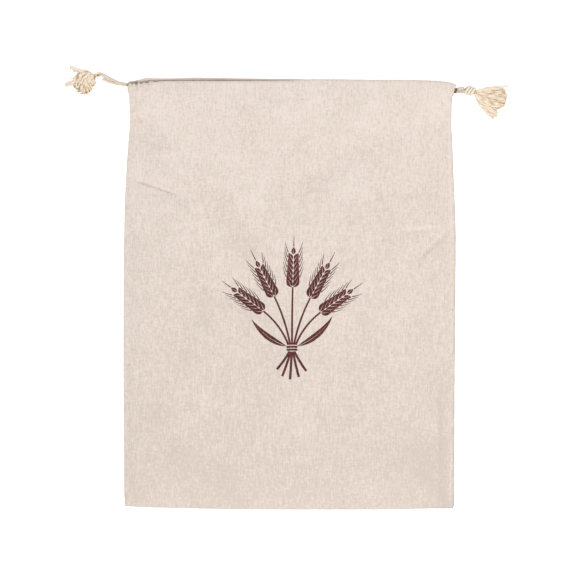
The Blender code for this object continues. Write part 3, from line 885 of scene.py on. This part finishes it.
def add_tube(bm, line, section, shade=0.5):
    """A closed tube on a line; section(ring) gives the angles round it and the radii there.

    The shade, one or one a ring, is kept on its points: its material mixes light and dark by it.
    """
    shades = np.broadcast_to(shade, len(line))
    tones = bm.verts.layers.float.get("shade") or bm.verts.layers.float.new("shade")
    across, up = frames_along(line)
    rings = []
    for ring, middle in enumerate(line):
        angles, radii = section(ring)
        places = (
            middle
            + np.outer(radii * np.cos(angles), across[ring])
            + np.outer(radii * np.sin(angles), up[ring])
        )
        places[:, 2] = np.maximum(places[:, 2], 0.0)
        rings.append([bm.verts.new(METRES * Vector(place)) for place in places])
        for vert in rings[-1]:
            vert[tones] = float(shades[ring])
    for ring, following in zip(rings[:-1], rings[1:], strict=True):
        for k in range(len(ring)):
            after = (k + 1) % len(ring)
            bm.faces.new((ring[k], ring[after], following[after], following[k]))
    bm.faces.new(reversed(rings[0]))
    bm.faces.new(rings[-1])


def ply_section(line, radius, pitch, groove, sides=18):
    """Section of a cord of three soft plies that wind round each other once in a pitch."""
    steps = np.linalg.norm(np.diff(line, axis=0), axis=1)
    lengths = np.concatenate([[0.0], np.cumsum(steps)])
    around = np.linspace(0, 2 * np.pi, sides, endpoint=False)
    plies = 1 - groove * (1 - np.abs(np.cos(1.5 * around)))
    reaches = np.broadcast_to(radius, len(line))

    def section(ring):
        return around + 2 * np.pi * lengths[ring] / pitch, reaches[ring] * plies

    return section


def make_drawstring(side):
    """A drawstring as the twisted cord that it is."""
    line = evenly(smooth_route(drawstring_route(side), 8), CORD_STEP)
    at = np.arange(len(line)) * CORD_STEP
    loose = 1 - ease(np.minimum(at, at[-1] - at), 0.0, LOOSE_LENGTH)
    reach = CORD_REACH * (1 + CORD_LOOSENS * loose)
    # Painted shade where the cord comes out of its casing end
    shaded = np.exp(-(((line[:, 0] - DARK_EXITS[side]) / DARK_REACH) ** 2))
    bm = bmesh.new()
    tones = CORD_TONE - DARK_DEPTH * shaded
    add_tube(bm, line, ply_section(line, reach, CORD_PITCH, PLY_GROOVE), tones)
    return make_piece(f"drawstring_{side}_twisted", bm), line


def make_piece(name, bm):
    """A smooth-shaded piece from a mesh under construction."""
    mesh = bpy.data.meshes.new(name)
    bm.to_mesh(mesh)
    bm.free()
    mesh.shade_smooth()
    return add_piece(name, mesh)


def knot_axes(knot):
    """The knot's middle, the direction it runs in and the two across it."""
    turn = math.radians(knot["turn"])
    along = np.array((math.cos(turn), math.sin(turn), 0.0))
    return np.array(knot["middle"]), along, np.cross((0.0, 0.0, 1.0), along), np.array((0.0, 0.0, 1.0))


def wrap_line(knot):
    """The cord's slanting turns round its knot, its ends drawn in under them."""
    middle, along, across, up = knot_axes(knot)
    angles = np.linspace(0.0, 2 * np.pi * TURNS["wraps"], round(30 * TURNS["wraps"]))
    drawn = 0.5 + 0.5 * ease(np.minimum(angles, angles[-1] - angles), 0.0, 1.2)
    turned = angles + math.radians(TURNS["first_angle"])
    places = TURNS["travel"] * (angles / angles[-1] - 0.5) + TURNS["slant"] * TURNS["wide"] * np.cos(turned)
    return (
        middle
        + np.outer(places, along)
        + np.outer(TURNS["wide"] * drawn * np.cos(turned), across)
        + np.outer(TURNS["high"] * drawn * np.sin(turned), up)
    )


def add_knot(bm, side):
    """The knot: the cord's loop or turns, and the cord that runs through it into the yarn."""
    knot = KNOTS[side]
    line = smooth_route(LOOP, 6) if side == "left" else wrap_line(knot)
    # Painted shading lines on the left knot: its cord's shade swings between dark and pale along it
    swings = np.cos(np.linspace(0.0, KNOT_SWINGS * np.pi, len(line)))
    shades = knot["shade"] + knot["swing"] * swings
    add_tube(bm, line, ply_section(line, knot["cord"] / 2, CORD_PITCH, KNOT_GROOVE), shades)
    middle, along, _, _ = knot_axes(knot)
    # The core runs through the knot into the yarn; the left one's low shade is painted shade in its loop's
    # hole
    core = middle + np.outer(np.linspace(knot["core_from"], knot["yarn_from"] + CORE_PAST, 9), along)
    add_tube(bm, core, ply_section(core, knot["core"] / 2, CORD_PITCH, KNOT_GROOVE), knot["core_shade"])


def yarn_line(knot, form, chance, direction, reach, level, crimp=1.0):
    """The crimped way of one lock of yarn, from the knot to its tip, and its crests along it."""
    middle, along, _, _ = knot_axes(knot)
    start = middle + along * knot["yarn_from"]
    angle = math.radians(direction)
    flared = math.radians(knot["turn"] + (direction - knot["turn"]) * form["flare"])
    outward = np.array((math.cos(angle), math.sin(angle), 0.0))
    t = np.linspace(0.0, 1.0, YARN_RINGS)[:, None]
    bend = start + np.array((math.cos(flared), math.sin(flared), 0.0)) * reach * 0.4
    line = start * (1 - t) ** 2 + 2 * bend * t * (1 - t) + (start + outward * reach) * t**2
    share = t[:, 0]
    rest = form["lock_radius"] + level * (1 - 0.55 * share**3)
    rise = ease(share, 0.0, 0.35)
    line[:, 2] = middle[2] * (1 - rise) + rest * rise
    waves = 2 * np.pi * reach / form["crimp_length"] * share + chance.uniform(0.0, 2 * np.pi)
    fade = crimp * ease(share, 0.1, 0.4)
    line += np.outer(form["crimp"] * fade * np.sin(waves), (-outward[1], outward[0], 0.0))
    line[:, 2] += form["crimp_up"] * fade * np.cos(waves)
    return line, np.cos(waves)


def add_lock(bm, line, form, strands, chance, spread, shade):
    """One lock: soft strands that wind loosely round its line and part towards its tip."""
    across, up = frames_along(line)
    share = np.linspace(0.0, 1.0, len(line))
    around = np.linspace(0, 2 * np.pi, STRAND_SIDES, endpoint=False)
    thin = form["strand_radius"]
    radii = thin * (1 - 0.4 * share**6)
    thickness = form["lock_radius"] * math.sqrt(strands / form["strands"]) - thin
    for strand in range(strands):
        turn = 2 * np.pi * strand * 0.618 + chance.uniform(2.0, 4.0) * share
        away = thickness * math.sqrt((strand + 0.5) / strands)
        away *= 1 + (spread * chance.uniform(0.0, 1.0) - 0.3) * share**2
        place = line + (away * np.cos(turn))[:, None] * across + (away * np.sin(turn))[:, None] * up
        place[:, 2] = np.maximum(place[:, 2], thin)
        tones = np.clip(shade + chance.uniform(-0.15, 0.15), 0.0, 1.0)
        add_tube(bm, place, lambda ring: (around, np.full(STRAND_SIDES, radii[ring])), tones)


def make_tassel(side):
    """A tassel: the knot in its drawstring and the yarn combed out beyond it."""
    knot, form, fan = KNOTS[side], YARNS[side], FANS[side]
    chance = np.random.default_rng(form["seed"])
    bm = bmesh.new()
    add_knot(bm, side)
    for index in range(form["locks"]):
        share = (index + chance.uniform(0.0, 1.0)) / form["locks"]
        direction = fan[0, 0] + (fan[-1, 0] - fan[0, 0]) * share
        least, most = form["reaches"]
        reach = float(np.interp(direction, fan[:, 0], fan[:, 1]))
        reach *= least + (most - least) * chance.uniform(0.0, 1.0) ** form["fullness"]
        height = chance.uniform(0.0, 1.0)
        level = height * form["height"] * (1 - form["droop"] * (2 * share - 1) ** 2)
        line, crests = yarn_line(knot, form, chance, direction, reach, level)
        # Painted shade and highlight: lower locks and the dips of their crimp darker, their crests paler
        shade = form["base"] + 0.5 * height + chance.uniform(-0.15, 0.2) + form["swing"] * crests
        add_lock(bm, line, form, form["strands"], chance, form["spread"], shade)
    for direction, reach, strands, level in STRAY_LOCKS[side]:
        line, _ = yarn_line(knot, form, chance, direction, reach, level, STRAY_CRIMP)
        add_lock(bm, line, form, strands, chance, 0.5, 1.0)
    return make_piece(f"tassel_{side}_yarn", bm)


def make_camera():
    camera = bpy.data.cameras.new("view from above")
    camera.sensor_width = SENSOR
    camera.lens = SENSOR * (CAMERA_HEIGHT - VIEW_LEVEL) / VIEW_WIDTH
    camera.clip_end = 20.0
    holder = bpy.data.objects.new("view from above", camera)
    holder.location = METRES * Vector((*VIEW_MIDDLE, CAMERA_HEIGHT))
    bpy.context.scene.collection.objects.link(holder)
    bpy.context.scene.camera = holder


def make_floor():
    mesh = bpy.data.meshes.new("floor")
    bm = bmesh.new()
    bmesh.ops.create_grid(bm, x_segments=1, y_segments=1, size=4.0)
    bm.to_mesh(mesh)
    bm.free()
    floor = add_piece("floor", mesh)
    material = plain_material("floor", FLOOR, 0.6)
    shader = material.node_tree.nodes["Principled BSDF"]
    shader.inputs["Emission Color"].default_value = (1.0, 1.0, 1.0, 1.0)
    shader.inputs["Emission Strength"].default_value = FLOOR_GLOW
    floor.data.materials.append(material)


def plain_material(name, colour, roughness):
    material = bpy.data.materials.new(name)
    material.use_nodes = True
    shader = material.node_tree.nodes["Principled BSDF"]
    shader.inputs["Base Color"].default_value = (*colour, 1.0)
    shader.inputs["Roughness"].default_value = roughness
    shader.inputs["Specular IOR Level"].default_value = 0.2
    return material


class Graph:
    """A material's node tree, with short ways to add nodes to it."""

    def __init__(self, material):
        self.tree = material.node_tree
        self.shader = self.tree.nodes["Principled BSDF"]
        place = self.tree.nodes.new("ShaderNodeTexCoord").outputs["Object"]
        self.place = self.vector("SCALE", place, scale=1 / METRES)

    def put(self, value, socket):
        if isinstance(value, bpy.types.NodeSocket):
            self.tree.links.new(value, socket)
        else:
            socket.default_value = value

    def maths(self, operation, *values):
        node = self.tree.nodes.new("ShaderNodeMath")
        node.operation = operation
        for value, socket in zip(values, node.inputs, strict=False):
            self.put(value, socket)
        return node.outputs["Value"]

    def vector(self, operation, *values, scale=None):
        node = self.tree.nodes.new("ShaderNodeVectorMath")
        node.operation = operation
        for value, socket in zip(values, node.inputs, strict=False):
            self.put(value, socket)
        if scale is not None:
            node.inputs["Scale"].default_value = scale
        return node.outputs["Vector"]

    def vertex_value(self, name):
        node = self.tree.nodes.new("ShaderNodeAttribute")
        node.attribute_name = name
        return node.outputs["Fac"]

    def along(self, direction, start):
        """How far a place lies from the start in a direction across the cloth."""
        node = self.tree.nodes.new("ShaderNodeVectorMath")
        node.operation = "DOT_PRODUCT"
        self.put(self.vector("SUBTRACT", self.place, (*start, 0.0)), node.inputs[0])
        node.inputs[1].default_value = (*direction, 0.0)
        return node.outputs["Value"]

    def crease(self, x0, y0, x1, y1, width):
        """1 on a straight line between two places, fading beside it and towards both ends."""
        length = math.hypot(x1 - x0, y1 - y0)
        direction = ((x1 - x0) / length, (y1 - y0) / length)
        beside = self.along((-direction[1], direction[0]), (x0, y0))
        squared = self.maths("POWER", beside, 2.0)
        depth = self.maths("EXPONENT", self.maths("MULTIPLY", squared, -(width**-2)))
        share = self.maths("DIVIDE", self.along(direction, (x0, y0)), length)
        ends = self.maths("MULTIPLY", share, self.maths("SUBTRACT", 1.0, share))
        return self.maths("MULTIPLY", depth, self.between(ends, 0.0, 0.16))

    def noise(self, stretch, detail=2.0):
        """Noise between 0 and 1, with so many features in a millimetre along x, y and z."""
        node = self.tree.nodes.new("ShaderNodeTexNoise")
        node.inputs["Scale"].default_value = 1.0
        node.inputs["Detail"].default_value = detail
        self.put(self.vector("MULTIPLY", self.place, stretch), node.inputs["Vector"])
        return node.outputs["Fac"]

    def between(self, value, low, high):
        """0 where the value is low, 1 where it is high."""
        node = self.tree.nodes.new("ShaderNodeMapRange")
        self.put(value, node.inputs["Value"])
        node.inputs["From Min"].default_value = low
        node.inputs["From Max"].default_value = high
        return node.outputs["Result"]

    def mix(self, share, first, second):
        node = self.tree.nodes.new("ShaderNodeMix")
        node.data_type = "RGBA"
        self.put(share, node.inputs["Factor"])
        self.put(first, node.inputs["A"])
        self.put(second, node.inputs["B"])
        return node.outputs["Result"]

    def bump(self, height, depth, strength):
        node = self.tree.nodes.new("ShaderNodeBump")
        node.inputs["Strength"].default_value = strength
        node.inputs["Distance"].default_value = METRES * depth
        self.put(height, node.inputs["Height"])
        self.put(node.outputs["Normal"], self.shader.inputs["Normal"])

    def weave(self):
        """Over and under of a plain weave whose threads wander a little: 1 where the warp is on top."""
        node = self.tree.nodes.new("ShaderNodeTexNoise")
        node.inputs["Scale"].default_value = THREAD_WANDER_RATE
        self.put(self.place, node.inputs["Vector"])
        wander = self.vector("SUBTRACT", node.outputs["Color"], (0.5, 0.5, 0.5))
        moved = self.vector("ADD", self.place, self.vector("SCALE", wander, scale=THREAD_WANDER))
        split = self.tree.nodes.new("ShaderNodeSeparateXYZ")
        self.put(moved, split.inputs["Vector"])
        warp = self.maths("SINE", self.maths("MULTIPLY", split.outputs["X"], math.pi / THREAD))
        weft = self.maths("SINE", self.maths("MULTIPLY", split.outputs["Y"], math.pi / THREAD))
        return self.maths("MULTIPLY_ADD", self.maths("MULTIPLY", warp, weft), 0.5, 0.5)

    def slubs(self):
        """Thick and thin stretches of the threads, up the cloth and across it, about 0."""
        up = self.maths("SUBTRACT", self.noise((0.95, 0.13, 0.2), 2.0), 0.5)
        across = self.maths("SUBTRACT", self.noise((0.15, 1.1, 0.2), 2.0), 0.5)
        grain = self.maths("SUBTRACT", self.noise((0.6, 0.36, 0.5), 2.0), 0.5)
        mottle = self.maths("SUBTRACT", self.noise((0.03, 0.03, 0.03), 1.0), 0.5)
        total = self.maths("MULTIPLY", up, 1.7)
        for value, weight in ((across, 1.1), (grain, 1.6), (mottle, 0.6)):
            total = self.maths("MULTIPLY_ADD", value, weight, total)
        return total


def fabric_material(name):
    material = plain_material(name, (0.5, 0.5, 0.5), 0.92)
    shader = material.node_tree.nodes["Principled BSDF"]
    shader.inputs["Sheen Weight"].default_value = 0.08
    shader.inputs["Sheen Roughness"].default_value = 0.5
    return material, Graph(material)


def linen_material():
    material, graph = fabric_material("linen")
    slubs, weave = graph.slubs(), graph.weave()
    split = graph.tree.nodes.new("ShaderNodeSeparateXYZ")
    graph.put(graph.place, split.inputs["Vector"])
    # Painted light from the top: the linen paler up the bag
    level = graph.maths("MULTIPLY_ADD", split.outputs["Y"], PAINTED_TOP_LIGHT, LINEN_TONE)
    # Painted light and shade of the cloth's stretches
    level = graph.maths("ADD", level, graph.vertex_value("tone"))
    # Painted highlights on the crests beside the sharp creases
    for *line, paler in CREST_HIGHLIGHTS:
        level = graph.maths("MULTIPLY_ADD", graph.crease(*line), paler, level)
    tone = graph.maths("ADD", graph.maths("MULTIPLY_ADD", weave, 0.25, level), slubs)
    cloth = graph.mix(tone, LINEN_DARK, LINEN_LIGHT)
    flecks = graph.between(graph.noise((0.42, 0.3, 0.3), 1.0), 0.755, 0.785)
    marked = graph.mix(graph.maths("MULTIPLY", flecks, 0.4), cloth, LINEN_FLECK)
    # Painted shade along the sewn edges, partly abrasion, and painted deep shade beside the lip and inside
    # the right casing end
    uneven = graph.between(graph.noise((0.12, 0.12, 0.12), 3.0), 0.25, 0.7)
    edge_shaded_and_worn = graph.maths("MULTIPLY", graph.maths("MULTIPLY", graph.vertex_value("edge_shade_and_wear"), uneven), 0.9)
    colour = graph.mix(graph.vertex_value("shade"), graph.mix(edge_shaded_and_worn, marked, LINEN_EDGE_SHADE_AND_WEAR), LINEN_SHADED)
    graph.put(colour, graph.shader.inputs["Base Color"])
    height = graph.maths("ADD", weave, slubs)
    for *line, depth in SHARP_CREASES:
        height = graph.maths("MULTIPLY_ADD", graph.crease(*line), -depth, height)
    graph.bump(height, 0.16, 0.6)
    return material


def ink_material():
    """Ink that sits on the threads and lets the cloth show where it missed them."""
    material, graph = fabric_material("ink")
    slubs, weave = graph.slubs(), graph.weave()
    tone = graph.maths("ADD", graph.maths("MULTIPLY_ADD", weave, 0.4, 0.3), slubs)
    ink = graph.mix(tone, INK_DARK, INK_LIGHT)
    missed = graph.between(graph.noise((1.5, 1.2, 1.0), 3.0), 0.6, 0.72)
    colour = graph.mix(graph.maths("MULTIPLY", missed, 0.28), ink, LINEN_LIGHT)
    graph.put(colour, graph.shader.inputs["Base Color"])
    graph.bump(graph.maths("ADD", weave, slubs), 0.16, 0.6)
    return material


def yarn_material(name, dark, light):
    material, graph = fabric_material(name)
    fibres = graph.maths("SUBTRACT", graph.noise((1.6, 1.6, 1.6), 3.0), 0.5)
    tone = graph.maths("MULTIPLY_ADD", fibres, 1.2, graph.vertex_value("shade"))
    # The lowest shades take the painted deep shade
    clear = graph.mix(graph.between(tone, -0.8, 0.0), PAINTED_YARN_SHADE, graph.mix(tone, dark, light))
    pale = graph.between(tone, 0.8, 1.2)
    graph.put(graph.mix(pale, clear, YARN_PALE), graph.shader.inputs["Base Color"])
    graph.bump(fibres, 0.2, 0.5)
    return material


def make_lights():
    world = bpy.data.worlds.new("studio")
    world.use_nodes = True
    background = world.node_tree.nodes["Background"]
    background.inputs["Color"].default_value = (1.0, 1.0, 1.0, 1.0)
    background.inputs["Strength"].default_value = SKY_STRENGTH
    bpy.context.scene.world = world
    lamp = bpy.data.lights.new("soft box", "AREA")
    lamp.shape = "SQUARE"
    lamp.size = LAMP_SIZE
    lamp.energy = LAMP_POWER
    holder = bpy.data.objects.new("soft box", lamp)
    holder.location = LAMP_PLACE
    holder.rotation_euler = (Vector((0, 0, 0)) - holder.location).to_track_quat("-Z", "Y").to_euler()
    bpy.context.scene.collection.objects.link(holder)


def dress():
    linen = linen_material()
    yarn = yarn_material("cotton_yarn", YARN_DARK, YARN_LIGHT)
    cotton = yarn_material("cotton_cord", CORD_DARK, CORD_LIGHT)

    bag = make_cloth()
    bag.data.materials.append(linen)
    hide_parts("bag_body")
    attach(bag, "root")
    sheaf = make_print()
    sheaf.data.materials.append(ink_material())
    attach(sheaf, "root")

    for side in ("left", "right"):
        tassel = make_tassel(side)
        tassel.data.materials.append(yarn)
        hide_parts(f"tassel_{side}")
        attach(tassel, "root")
        cord, line = make_drawstring(side)
        cord.data.materials.append(cotton)
        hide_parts(f"drawstring_{side}")
        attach(cord, "root")


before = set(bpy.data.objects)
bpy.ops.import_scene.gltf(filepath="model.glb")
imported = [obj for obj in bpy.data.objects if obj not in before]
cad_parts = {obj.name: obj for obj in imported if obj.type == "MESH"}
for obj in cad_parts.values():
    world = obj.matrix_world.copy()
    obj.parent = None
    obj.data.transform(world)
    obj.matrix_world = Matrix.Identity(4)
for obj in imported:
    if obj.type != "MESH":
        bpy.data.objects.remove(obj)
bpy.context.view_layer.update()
bpy.context.scene.view_settings.view_transform = "Standard"
make_camera()
make_lights()
make_floor()
dress()
